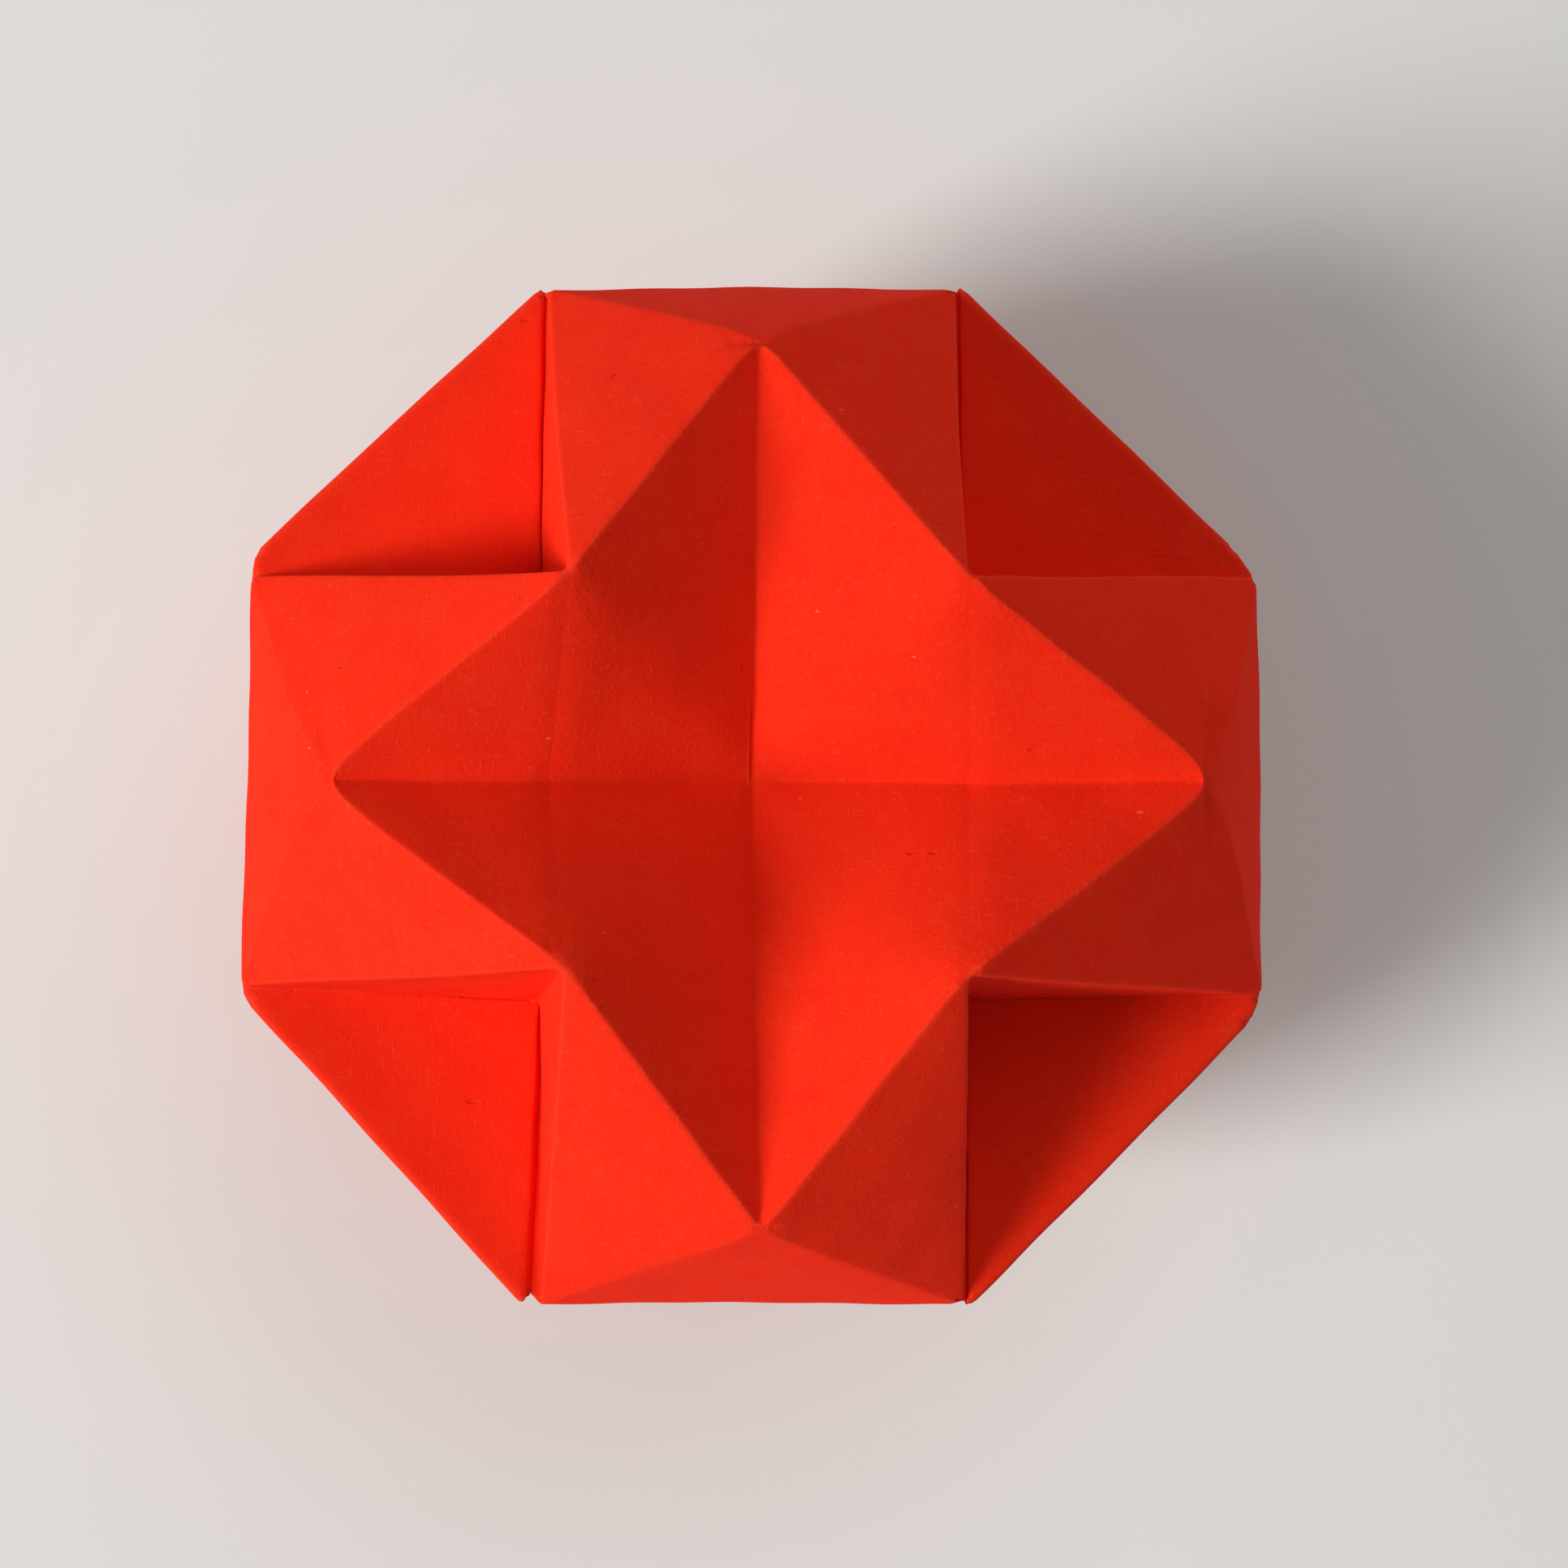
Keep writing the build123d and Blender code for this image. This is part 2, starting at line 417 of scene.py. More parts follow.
def pit_facets(quarter):
    """One pit's floor, the fold that tucks its spare paper under it, and the wall below them.

    The loops suit a pit with its tucked fold at this quarter's end, and are turned round in the others.
    """
    tucked, plain = pit_corners(quarter)
    foot, heel, tuck_end = ("pit_foot", quarter), ("heel", quarter), ("tuck_end", quarter)
    floor_foot, under_foot = ("floor_foot", quarter), ("under_foot", quarter)
    turn_over, turn_under = ("turn_over", quarter), ("turn_under", quarter)
    facets = [
        ("pit_floor", (floor_foot, heel, turn_over)),
        ("tuck", (floor_foot, plain, heel)),
        ("tuck", (foot, plain, floor_foot)),
        ("tuck", (floor_foot, turn_over, turn_under, under_foot)),
        ("tuck", (under_foot, turn_under, tuck_end)),
        ("tuck", (under_foot, tuck_end, tucked)),
        ("tuck", (under_foot, tucked, foot)),
        ("tuck", (foot, floor_foot, under_foot)),
        ("tuck", (plain, below(plain), below(heel), heel)),
        ("wall", (heel, below(heel), below(turn_over), turn_over)),
        ("tuck", (turn_over, below(turn_over), below(turn_under), turn_under)),
        ("tuck", (turn_under, below(turn_under), below(tuck_end), tuck_end)),
        ("tuck", (tuck_end, below(tuck_end), below(tucked), tucked)),
    ]
    return facets if quarter % 2 == 0 else [(kind, loop[::-1]) for kind, loop in facets]


def sheet_facets():
    """Facets between the folds: kind and loop of point keys, anticlockwise from outside."""
    facets = []
    for quarter in range(QUARTER_COUNT):
        before = (quarter - 1) % QUARTER_COUNT
        after = (quarter + 1) % QUARTER_COUNT
        tip, bend, bend_after = ("tip", quarter), ("bend", quarter), ("bend", after)
        crown, crown_before = ("crown", quarter), ("crown", before)
        foot = ("pit_foot", quarter)
        left, right, left_after = ("left_corner", quarter), ("right_corner", quarter), ("left_corner", after)
        facets += [
            ("star", (("star_floor", 0), bend_after, crown, bend)),
            ("wing", (bend, crown, tip)),
            ("wing", (crown_before, bend, tip)),
            ("shoulder", (tip, crown, right)),
            ("shoulder", (tip, left, crown_before)),
            ("brow", (tip, right, left)),
            ("pit_wall", (crown, foot, right)),
            ("pit_wall", (crown, left_after, foot)),
            ("wall", (right, below(right), below(left), left)),
        ]
        facets += pit_facets(quarter)
    return facets


def triangle_patch(corners, steps, swell):
    """A triangle on a grid of its three weights, each a power of its step, so that it crowds to the edges.

    The middle swells along the normal by 27 times the product of the weights.
    Returns points and triangles.
    """
    counts = np.arange(steps + 1)
    row, column = (grid.ravel() for grid in np.meshgrid(counts, counts, indexing="ij"))
    inside = row + column <= steps
    row, column = row[inside], column[inside]
    index = np.full((steps + 2, steps + 2), -1)
    index[row, column] = np.arange(len(row))
    powers = np.stack((steps - row - column, row, column), axis=1).astype(float) ** STEP_CROWDING
    weights = powers / powers.sum(axis=1, keepdims=True)
    cross = np.cross(corners[1] - corners[0], corners[2] - corners[0])
    normal = cross / np.linalg.norm(cross)
    points = weights @ corners + normal * (THREE_SIDED_PEAK * swell * weights.prod(axis=1))[:, None]
    here, ahead, beside = index[row, column], index[row + 1, column], index[row, column + 1]
    opposite = index[row + 1, column + 1]
    near_half = row + column < steps
    far_half = row + column < steps - 1
    triangles = np.concatenate((
        np.stack((here, ahead, beside), axis=1)[near_half],
        np.stack((ahead, opposite, beside), axis=1)[far_half],
    ))
    return points, triangles


def step_places(steps):
    """Places from 0 to 1 that crowd towards both ends: a power of the step over the sum of both ends'."""
    ahead = np.arange(steps + 1) ** STEP_CROWDING
    return ahead / (ahead + ahead[::-1])


def four_sided_patch(corners, steps, swell, crease):
    """A ruled patch between four corners: weights multiply along both ways, so it bends without a crease.

    The middle swells along the mean normal by 16 times the product of both ways' distances from the ends.
    A share of the difference to two flat triangles, which meet on the diagonal from the first corner, is
    added, with the diagonal rounded: the lesser parameter times one less the greater, both softened.
    Returns points and triangles.
    """
    places = step_places(steps)
    along, across = (grid.ravel() for grid in np.meshgrid(places, places, indexing="ij"))
    weights = np.stack((
        (1 - along) * (1 - across),
        along * (1 - across),
        along * across,
        (1 - along) * across,
    ), axis=1)
    cross = np.cross(corners[2] - corners[0], corners[3] - corners[1])
    normal = cross / np.linalg.norm(cross)
    rise = FOUR_SIDED_PEAK * swell * along * (1 - along) * across * (1 - across)
    softness = CREASE_SOFTNESS * along * (1 - along) * across * (1 - across)
    apart = np.sqrt((along - across) ** 2 + softness)
    tent = (along + across - apart) / 2 * (1 - (along + across + apart) / 2)
    twist = corners[0] - corners[1] + corners[2] - corners[3]
    points = weights @ corners + normal * rise[:, None] + crease * tent[:, None] * twist
    index = np.arange((steps + 1) ** 2).reshape(steps + 1, steps + 1)
    low, high = index[:-1, :-1].ravel(), index[1:, 1:].ravel()
    ahead, beside = index[1:, :-1].ravel(), index[:-1, 1:].ravel()
    triangles = np.concatenate((np.stack((low, ahead, high), axis=1), np.stack((low, high, beside), axis=1)))
    return points, triangles


def joined_patches(corners, facets, steps):
    """Every facet's patch, with points closer than the joining distance made one.

    Triangles that lose a corner by that are left out, and so are two that come to lie on the same points.
    Returns points and triangles.
    """
    all_points, all_triangles = [], []
    offset = 0
    for kind, loop in facets:
        places = np.array([corners[key] for key in loop])
        swell = SWELL_MM[kind] * MM
        if len(loop) == 3:
            points, triangles = triangle_patch(places, steps, swell)
        else:
            points, triangles = four_sided_patch(places, steps, swell, crease=1.0 if kind == "star" else 0.0)
        all_points.append(points)
        all_triangles.append(triangles + offset)
        offset += len(points)
    points = np.concatenate(all_points)
    nearest = np.round(points / JOINING_DISTANCE).astype(np.int64)
    _, first, joined = np.unique(nearest, axis=0, return_index=True, return_inverse=True)
    triangles = joined.ravel()[np.concatenate(all_triangles)]
    whole = (np.diff(np.sort(triangles, axis=1), axis=1) > 0).all(axis=1)
    triangles = triangles[whole]
    _, same, uses = np.unique(np.sort(triangles, axis=1), axis=0, return_inverse=True, return_counts=True)
    return points[first], triangles[uses[same.ravel()] == 1]


def waves(points, amount):
    """Waves through space: each axis moves by a long, a short and a fine sine of places along the others."""
    long_wave, short_wave, fine_wave = (2 * math.pi / (length * MM) for length in WAVE_LENGTHS_MM)
    x, y, z = points.T
    right, away = FINE_WAVE_HEADING
    runs = ((y, z, y + z), (x, z, x - z), (x + y, x - y, right * x + away * y))
    moves = []
    for (long_run, short_run, fine_run), (long_start, short_start, fine_start) in zip(runs, WAVE_STARTS):
        short = SHORT_WAVE_SHARE * np.sin(short_wave * short_run + short_start)
        fine = FINE_WAVE_SHARE * np.sin(fine_wave * fine_run + fine_start)
        moves.append(np.sin(long_wave * long_run + long_start) + short + fine)
    return amount * np.stack(moves, axis=1)


def neighbour_pairs(triangles):
    """Both directions of every edge of the triangles, and the points on edges that only one triangle has."""
    edges = np.sort(np.concatenate((triangles[:, :2], triangles[:, 1:], triangles[:, ::2])), axis=1)
    edges, uses = np.unique(edges, axis=0, return_counts=True)
    return np.concatenate((edges, edges[:, ::-1])), np.unique(edges[uses == 1])


def run_together(points, triangles, blunt):
    """Makes points blunt: in each round they move part of the way to the mean of their neighbours.

    Points on a raw edge stay.
    """
    pairs, raw_edge = neighbour_pairs(triangles)
    here, there = pairs.T
    share = blunt.copy()
    share[raw_edge] = 0
    count = np.bincount(here, minlength=len(points))[:, None]
    for _ in range(BLUNT_ROUNDS):
        total = np.stack([
            np.bincount(here, weights=values, minlength=len(points)) for values in points[there].T
        ], axis=1)
        points = points + BLUNT_MOVE * share[:, None] * (total / count - points)
    return points


def width_of_fold(folds, first, second):
    """How much paper bends at each side of the fold between two points of the sheet."""
    names = {first[0], second[0]}
    if names == {"bend", "crown"}:
        return folds.crease_width
    if names == {"tip", "crown"}:
        return folds.ridge_width
    if names <= {"left_corner", "right_corner", "heel", "turn_over"}:
        return folds.rim_width
    upright = first == below(second) or second == below(first)
    plain_corner = names & {"left_corner", "right_corner"} and first[1] % 2 == 1
    if upright and (plain_corner or "heel" in names):
        return folds.upright_width
    return folds.fold_width


def inward_at(places, edge):
    """Unit direction in a facet's plane, square to one of its edges and away from it."""
    first, second = places[edge], places[(edge + 1) % len(places)]
    along = (second - first) / np.linalg.norm(second - first)
    aside = places.mean(axis=0) - first
    aside = aside - along * (aside @ along)
    return aside / np.linalg.norm(aside)


def fold_neighbours(corners, facets):
    """For each fold, as a set of its two ends, the inward directions of the facets that meet there."""
    meeting = {}
    for _, loop in facets:
        places = np.array([corners[key] for key in loop])
        for edge, key in enumerate(loop):
            ends = frozenset((key, loop[(edge + 1) % len(loop)]))
            meeting.setdefault(ends, []).append(inward_at(places, edge))
    return meeting


def rounding(points, corners, facets, folds):
    """How the sheet's points move where it bends, and how near each of them is to a ridge, which is paled by
    wear from rubbing and by a painted highlight.

    Each fold is a parabola that leaves both facets where the fold's width ends: a point moves by a quarter
    of the width, times the sum of both facets' inward directions, times the square of how near it is.
    A ridge is a fold whose facets both fall away towards the middle of the box.
    """
    move = np.zeros_like(points)
    rubbed_and_highlit = np.zeros(len(points))
    for ends, directions in fold_neighbours(corners, facets).items():
        if len(directions) != 2:
            continue
        first, second = sorted(ends)
        run = corners[second] - corners[first]
        share = np.clip((points - corners[first]) @ run / (run @ run), 0, 1)
        distance = np.linalg.norm(points - corners[first] - np.outer(share, run), axis=1)
        width = width_of_fold(folds, first, second)
        near = np.clip(1 - distance / width, 0, 1)
        both = directions[0] + directions[1]
        move += np.outer(width / 4 * near ** 2, both)
        # A ridge's nearness pales its colour: partly wear from rubbing, partly a painted highlight
        is_ridge = both @ (corners[first] + corners[second]) < 0
        if is_ridge and width <= folds.rim_width:
            rubbed_and_highlit = np.maximum(rubbed_and_highlit, near * min(1, np.linalg.norm(both)))
    return move, rubbed_and_highlit


def nearness(places, corners, reaches_mm):
    """How near each place is to a point of the folds: 1 at the point, 0 from the point's reach on.

    A reach goes by a point's name, or by name and quarter for one point alone. A point without a reach
    doesn't count.
    """
    near = np.zeros(len(places))
    for key, corner in corners.items():
        reach = reaches_mm.get(key, reaches_mm.get(key[0], 0)) * MM
        if reach:
            near = np.maximum(near, 1 - np.linalg.norm(places - corner, axis=1) / reach)
    return near


def blunt_fold_end(points, corners, quarter):
    """Rounds the end of a pit's turned fold, all the way down: an upright cylinder inside it holds it in.

    A point near the end that lies outside the cylinder moves level, straight to the cylinder's side.
    """
    end = corners["turn_over", quarter]
    to_heel = corners["heel", quarter] - end
    to_foot = corners["pit_foot", quarter] - end
    inward = (to_heel / np.linalg.norm(to_heel) + to_foot / np.linalg.norm(to_foot))[:2]
    middle = end[:2] + inward / np.linalg.norm(inward) * FOLD_END_DEPTH
    level = points[:, :2] - middle
    distance = np.linalg.norm(level, axis=1)
    near = np.linalg.norm(points[:, :2] - end[:2], axis=1) < FOLD_END_DEPTH
    outside = near & (distance > FOLD_END_RADIUS)
    rounded = points.copy()
    rounded[outside, :2] = middle + level[outside] * (FOLD_END_RADIUS / distance[outside])[:, None]
    return rounded


def blunt_tip(points, corners, quarter, depth):
    """Draws a star tip in by a depth, so that its two straight ridges end on a hyperbola instead.

    A point's distance back from the tip becomes the root of its square and the depth's square. The move
    fades aside from the tip and away from it.
    """
    outward, sideways = turned((0, 1, 0), quarter), turned((1, 0, 0), quarter)
    to_tip = corners["tip", quarter] - points
    back, aside = to_tip @ outward, to_tip @ sideways
    fade_aside = np.clip(1 - (aside / (TIP_FADE_ASIDE * depth)) ** 2, 0, 1)
    fade_back = np.clip(1 - np.abs(back) / (TIP_FADE_BACK * depth), 0, 1)
    inward = (np.hypot(back, depth) - np.abs(back)) * (fade_aside * fade_back)
    return points - np.outer(inward, outward)


def folded_sheet(folds, half_width, slits_mm, heels_mm, tips_mm, drift_mm):
    """The whole sheet, star up: every facet's patch, joined along the folds, rounded there and waved.

    Points go blunt whole up to half their reach, and less beyond it.
    Returns points, triangles and two values from 0 to 1: 1 on a ridge paled by wear from rubbing and by a
    painted highlight, and 1 at a crumpled point.
    """
    corners = fold_points(folds, half_width, slits_mm, heels_mm, drift_mm)
    facets = sheet_facets()
    places, triangles = joined_patches(corners, facets, folds.steps)
    move, rubbed_and_highlit = rounding(places, corners, facets, folds)
    points = places + move + waves(places, folds.warp)
    blunt = np.clip(2 * nearness(places, corners, BLUNT_MM), 0, 1)
    points = run_together(points, triangles, blunt)
    for quarter in range(QUARTER_COUNT):
        points = blunt_fold_end(points, corners, quarter)
        points = blunt_tip(points, corners, quarter, tips_mm[quarter] * MM)
    return points, triangles, {"rubbed_and_highlit": rubbed_and_highlit, "crumple": nearness(places, corners, CRUMPLE_MM)}


def paper_object(name, points, triangles, marks, thickness, material):
    """Puts a sheet into a smooth mesh with its marks, and gives it the paper's thickness inwards."""
    mesh = bpy.data.meshes.new(name)
    mesh.from_pydata(points.tolist(), [], triangles.tolist())
    mesh.shade_smooth()
    for mark, values in marks.items():
        mesh.attributes.new(mark, "FLOAT", "POINT").data.foreach_set("value", values.astype(np.float32))
    mesh.materials.append(material)
    piece = bpy.data.objects.new(name, mesh)
    bpy.context.scene.collection.objects.link(piece)
    solidify = piece.modifiers.new("Thickness", "SOLIDIFY")
    solidify.thickness = thickness
    solidify.offset = -1
    return piece


class Shade:
    """A number socket of a node tree: an expression on shades adds its Math nodes."""

    def __init__(self, tree, socket):
        self.tree = tree
        self.socket = socket

    def joined(self, operation, first, second):
        """A Math node on two values."""
        node = add_node(self.tree, "ShaderNodeMath", {"operation": operation}, {0: first, 1: second})
        return Shade(self.tree, node.outputs[0])

    def __add__(self, other):
        return self.joined("ADD", self, other)

    def __sub__(self, other):
        return self.joined("SUBTRACT", self, other)

    def __rsub__(self, other):
        return self.joined("SUBTRACT", other, self)

    def __mul__(self, other):
        return self.joined("MULTIPLY", self, other)

    def above(self, threshold, gain):
        """0 below a threshold, then rising with a gain, up to 1."""
        node = add_node(self.tree, "ShaderNodeMath", {"operation": "MULTIPLY", "use_clamp": True},
                        {0: self - threshold, 1: gain})
        return Shade(self.tree, node.outputs[0])

    __radd__ = __add__
    __rmul__ = __mul__


def add_node(tree, kind, settings, inputs):
    """A node of a type, with its settings set first and then the values or links of its sockets."""
    node = tree.nodes.new(kind)
    for name, value in settings.items():
        setattr(node, name, value)
    for socket, value in inputs.items():
        if isinstance(value, Shade):
            tree.links.new(value.socket, node.inputs[socket])
        elif isinstance(value, bpy.types.NodeSocket):
            tree.links.new(value, node.inputs[socket])
        else:
            node.inputs[socket].default_value = value
    return node


def mixed(tree, amount, first, second):
    """A colour between two others."""
    node = add_node(tree, "ShaderNodeMix", {"data_type": "RGBA"}, {0: amount, 6: first, 7: second})
    return node.outputs[2]


def new_material(name):
    """An empty node material and its tree."""
    material = bpy.data.materials.new(name)
    material.use_nodes = True
    material.node_tree.nodes.clear()
    return material, material.node_tree


def paper_material(finish):
    """Matt dyed paper: clouded pulp, a fine tooth, stray fibres, dust, dents, crumples, and ridges paled by
    wear from rubbing and by a painted highlight.
    """
    name = "dyed_paper"
    if name in bpy.data.materials:
        return bpy.data.materials[name]
    material, tree = new_material(name)
    place = add_node(tree, "ShaderNodeTexCoord", {}, {}).outputs["Object"]

    def noise(size, detail, stretch=(1, 1, 1)):
        """A noise of a size, drawn out along the axes whose stretch is below 1."""
        where = add_node(tree, "ShaderNodeMapping", {}, {"Vector": place, "Scale": stretch}).outputs[0]
        node = add_node(tree, "ShaderNodeTexNoise", {}, {
            "Vector": where, "Scale": 1 / size, "Detail": detail, "Roughness": 0.6})
        return Shade(tree, node.outputs[0])

    def spots(where, spacing, sharpness, gain):
        """Scattered spots: 1 in their middles and 0 from their radius on."""
        cells = add_node(tree, "ShaderNodeTexVoronoi", {}, {"Vector": where, "Scale": 1 / spacing})
        return (1 - Shade(tree, cells.outputs["Distance"]) * sharpness).above(0.0, gain)

    def mark(attribute):
        """A value that the mesh carries at its points."""
        node = add_node(tree, "ShaderNodeAttribute", {"attribute_name": attribute}, {})
        return Shade(tree, node.outputs["Fac"])

    clouds = noise(finish.cloud_size, detail=3)
    tooth = noise(finish.tooth_size, detail=4)
    fibres = noise(finish.tooth_size, detail=2, stretch=FIBRE_STRETCH).above(threshold=0.58, gain=6)
    across = noise(finish.tooth_size, detail=2, stretch=CROSS_FIBRE_STRETCH).above(threshold=0.60, gain=6)
    all_fibres = fibres + across
    stretched = add_node(tree, "ShaderNodeMapping", {}, {
        "Vector": place, "Rotation": SPECK_TURN, "Scale": SPECK_STRETCH}).outputs[0]
    dust = spots(stretched, SPECK_SPACING, SPECK_SHARPNESS, gain=3)
    dent = spots(stretched, DENT_SPACING, DENT_SHARPNESS, gain=2)
    axes = add_node(tree, "ShaderNodeSeparateXYZ", {}, {0: place}).outputs
    x, y, z = (Shade(tree, socket) for socket in axes)
    aside = (x - PLEAT_LINE) * (1 / PLEAT_HALF_WIDTH)
    near_end, far_end = PLEAT_ENDS
    between_ends = (y - near_end).above(0.0, 1 / PLEAT_FADE) * (far_end - y).above(0.0, 1 / PLEAT_FADE)
    on_lid = (z - lid_low.z).above(0.0, 1 / PLEAT_FADE)
    pleat = (1 - aside * aside).above(0.0, 1) * between_ends * on_lid
    pulp = mixed(tree, clouds.above(threshold=0.3, gain=2.5), (*finish.deep_red, 1), (*finish.red, 1))
    # Pale marks: on the ridges partly wear from rubbing and partly a painted highlight; the tooth's pale
    # flecks are wear
    rubbed_and_highlit = mark("rubbed_and_highlit") * tooth * RIDGE_WEAR_AND_HIGHLIGHT + tooth.above(NOISE_MEAN, gain=3) * TOOTH_WEAR
    wear_and_highlight = (rubbed_and_highlit + all_fibres * FIBRE_WEAR + dust * DUST_WEAR).above(0.0, 1)
    colour = mixed(tree, wear_and_highlight, pulp, (*finish.worn_and_highlight_red, 1))
    crumple = mark("crumple") * noise(CRUMPLE_SIZE, detail=2) * CRUMPLE_HEIGHT
    grain = tooth * TOOTH_HEIGHT + all_fibres * FIBRE_HEIGHT + clouds * CLOUD_HEIGHT
    height = grain + crumple + pleat * PLEAT_HEIGHT - dent * DENT_HEIGHT
    bump = add_node(tree, "ShaderNodeBump", {}, {"Strength": 1.0, "Distance": BUMP_HEIGHT, "Height": height})
    roughness = finish.roughness + (tooth - NOISE_MEAN) * ROUGHNESS_SWING
    shader = add_node(tree, "ShaderNodeBsdfPrincipled", {}, {
        "Base Color": colour, "Roughness": roughness, "Normal": bump.outputs[0], "Specular IOR Level": 0.03})
    add_node(tree, "ShaderNodeOutputMaterial", {}, {"Surface": shader.outputs[0]})
    return material


def plain_material(name, colour):
    """A matt material of one colour, for the floor."""
    material, tree = new_material(name)
    shader = add_node(tree, "ShaderNodeBsdfPrincipled", {}, {
        "Base Color": (*colour, 1), "Roughness": 0.9, "Specular IOR Level": 0.1})
    add_node(tree, "ShaderNodeOutputMaterial", {}, {"Surface": shader.outputs[0]})
    return material


class PAPERBOX_OT_fold_lid(bpy.types.Operator):
    """Fold the lid, star up, as the upper sheet"""

    bl_idname = "paper_box.fold_lid"
    bl_label = "Fold Lid"

    def execute(self, context):
        folds, finish = context.scene.paper_folds, context.scene.paper_finish
        points, triangles, marks = folded_sheet(
            folds, lid_half_width, LID_SLIT_MM, LID_HEEL_MM, LID_TIP_MM, LID_DRIFT_MM)
        points[:, 2] += lid_high.z - folds.crown_rise
        lid = paper_object("lid_sheet", points, triangles, marks, folds.thickness, paper_material(finish))
        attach(lid, "root")
        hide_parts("lid")
        return {"FINISHED"}


class PAPERBOX_OT_fold_base(bpy.types.Operator):
    """Fold the base, star down, as the lower sheet that the lid covers"""

    bl_idname = "paper_box.fold_base"
    bl_label = "Fold Base"

    def execute(self, context):
        folds, finish = context.scene.paper_folds, context.scene.paper_finish
        points, triangles, marks = folded_sheet(
            folds, base_half_width, BASE_SLIT_MM, BASE_HEEL_MM, BASE_TIP_MM, BASE_DRIFT_MM)
        share = base_half_width / lid_half_width
        points[:, 2] = base_low.z + folds.crown_rise * share - points[:, 2]
        outside = triangles[:, ::-1]
        base = paper_object("base_sheet", points, outside, marks, folds.thickness, paper_material(finish))
        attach(base, "root")
        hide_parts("base")
        return {"FINISHED"}


def place_camera(scene, corner_height):
    """The camera looks down on the star, leaning by the photograph's small turn about its axes."""
    data = bpy.data.cameras.new("camera")
    data.sensor_width = SENSOR_MM
    data.lens = FOCAL_PIXELS * SENSOR_MM / FRAME_PIXELS
    data.clip_start = CAMERA_CLIP_START
    camera = bpy.data.objects.new("camera", data)
    scene.collection.objects.link(camera)
    lean = Vector(CAMERA_LEAN)
    turn = Matrix.Rotation(-lean.length, 4, lean.normalized())
    place = Vector(CAMERA_OFFSET_SHARES) * lid_half_width + Vector((0, 0, corner_height))
    camera.matrix_world = Matrix.Translation(place) @ turn
    scene.camera = camera


def add_panel_light(scene, name, power, azimuth, height, panel):
    """A flat light panel that faces the middle of the box, at an angle round it and a height angle."""
    data = bpy.data.lights.new(name, "AREA")
    data.shape = "RECTANGLE"
    data.size, data.size_y, distance = panel
    data.energy = power
    light = bpy.data.objects.new(name, data)
    scene.collection.objects.link(light)
    towards = Vector((
        math.cos(height) * math.cos(azimuth),
        math.cos(height) * math.sin(azimuth),
        math.sin(height),
    ))
    middle = (cad_low + cad_high) / 2
    facing = towards.to_track_quat("Z", "Y").to_matrix().to_4x4()
    light.matrix_world = Matrix.Translation(middle + towards * distance) @ facing


def lay_floor(scene, colour):
    """A square floor under the box."""
    mesh = bpy.data.meshes.new("floor")
    corners = [(x * FLOOR_HALF_WIDTH, y * FLOOR_HALF_WIDTH, cad_low.z)
               for x, y in ((-1, -1), (1, -1), (1, 1), (-1, 1))]
    mesh.from_pydata(corners, [], [(0, 1, 2, 3)])
    mesh.materials.append(plain_material("floor", colour))
    floor = bpy.data.objects.new("floor", mesh)
    scene.collection.objects.link(floor)


def even_light(sky, backdrop):
    """A white world: one strength lights the box, another is seen beyond the floor and in reflections."""
    world = bpy.data.worlds.new("even_light")
    world.use_nodes = True
    tree = world.node_tree
    tree.nodes.clear()
    rays = add_node(tree, "ShaderNodeLightPath", {}, {}).outputs
    camera_ray, glossy_ray, through_ray = (
        Shade(tree, rays[name]) for name in ("Is Camera Ray", "Is Glossy Ray", "Is Transmission Ray"))
    seen = (camera_ray + glossy_ray + through_ray).above(0.0, 1)
    background = add_node(tree, "ShaderNodeBackground", {}, {
        "Color": (1, 1, 1, 1), "Strength": seen * (backdrop - sky) + sky})
    add_node(tree, "ShaderNodeOutputWorld", {}, {"Surface": background.outputs[0]})
    return world


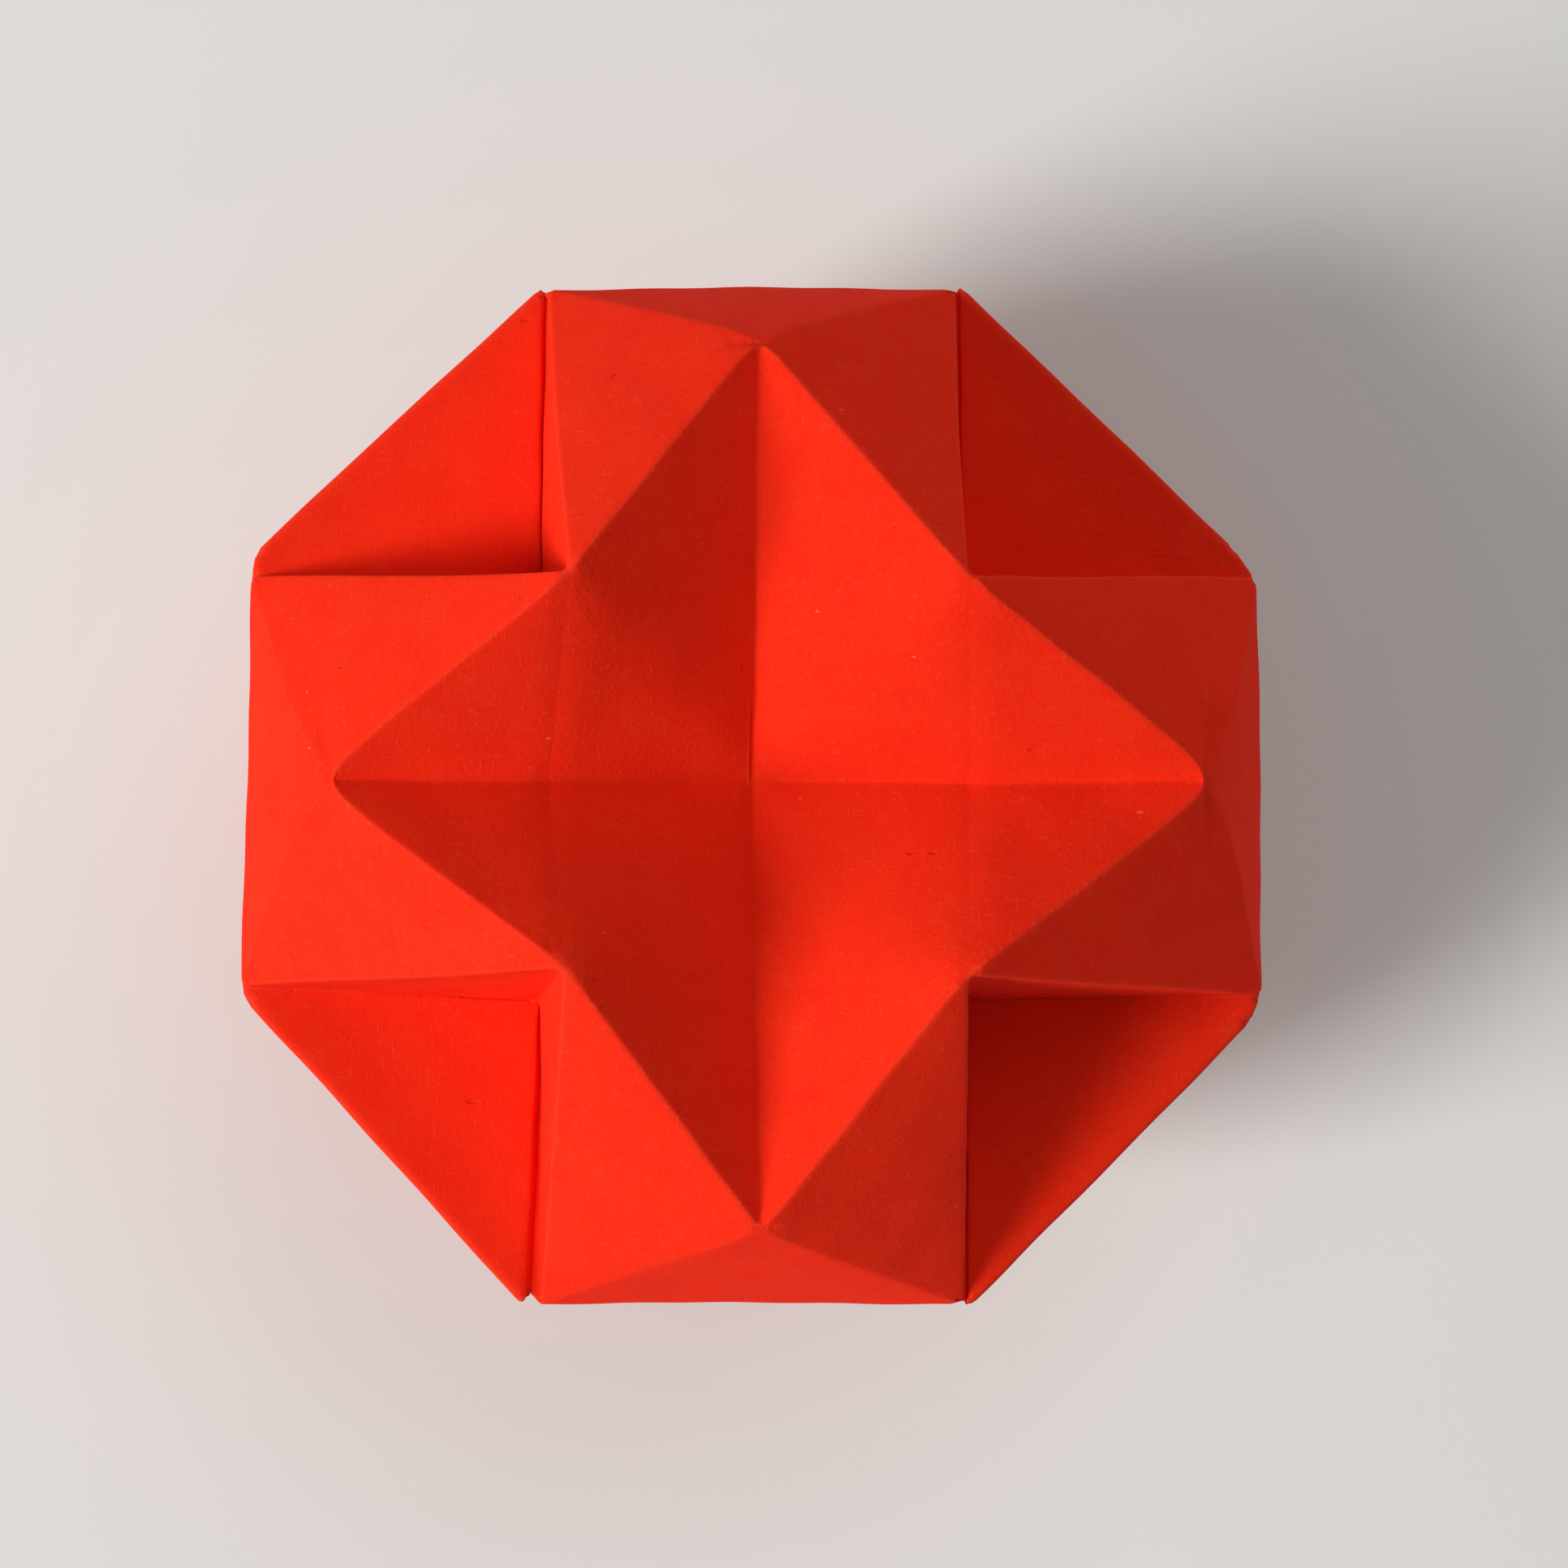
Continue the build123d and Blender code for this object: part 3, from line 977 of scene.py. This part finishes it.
class PAPERBOX_OT_set_stage(bpy.types.Operator):
    """Lay the floor, light the box from the left and set the camera above it"""

    bl_idname = "paper_box.set_stage"
    bl_label = "Set Stage"

    def execute(self, context):
        scene = context.scene
        look = scene.stage_look
        lay_floor(scene, look.floor_colour)
        add_panel_light(scene, "key", look.key_power, math.pi + look.key_turn, look.key_height, KEY_PANEL)
        add_panel_light(scene, "fill", look.fill_power, FILL_TURN, FILL_HEIGHT, FILL_PANEL)
        scene.world = even_light(look.sky, look.backdrop)
        scene.view_settings.view_transform = "Standard"
        place_camera(scene, lid_high.z - scene.paper_folds.crown_rise)
        return {"FINISHED"}


class PAPERBOX_PT_sidebar(bpy.types.Panel):
    """Lists the pieces and their settings"""

    bl_label = "Paper Box"
    bl_idname = "PAPERBOX_PT_sidebar"
    bl_space_type = "VIEW_3D"
    bl_region_type = "UI"
    bl_category = "Paper Box"

    def draw(self, context):
        for operator in OPERATORS:
            self.layout.operator(operator.bl_idname)
        for group in (context.scene.paper_folds, context.scene.paper_finish, context.scene.stage_look):
            for name in group.__annotations__:
                self.layout.prop(group, name)


OPERATORS = (PAPERBOX_OT_fold_lid, PAPERBOX_OT_fold_base, PAPERBOX_OT_set_stage)
CLASSES = (PaperFolds, PaperFinish, StageLook, *OPERATORS, PAPERBOX_PT_sidebar)


def register():
    """Adds the classes, and their settings to the scene."""
    for made in CLASSES:
        bpy.utils.register_class(made)
    bpy.types.Scene.paper_folds = PointerProperty(type=PaperFolds)
    bpy.types.Scene.paper_finish = PointerProperty(type=PaperFinish)
    bpy.types.Scene.stage_look = PointerProperty(type=StageLook)


def unregister():
    """Takes the settings and the classes out again."""
    del bpy.types.Scene.stage_look
    del bpy.types.Scene.paper_finish
    del bpy.types.Scene.paper_folds
    for made in reversed(CLASSES):
        bpy.utils.unregister_class(made)


def main():
    """Makes both sheets and the stage."""
    register()
    bpy.ops.paper_box.fold_lid()
    bpy.ops.paper_box.fold_base()
    bpy.ops.paper_box.set_stage()


if __name__ == "__main__":
    main()
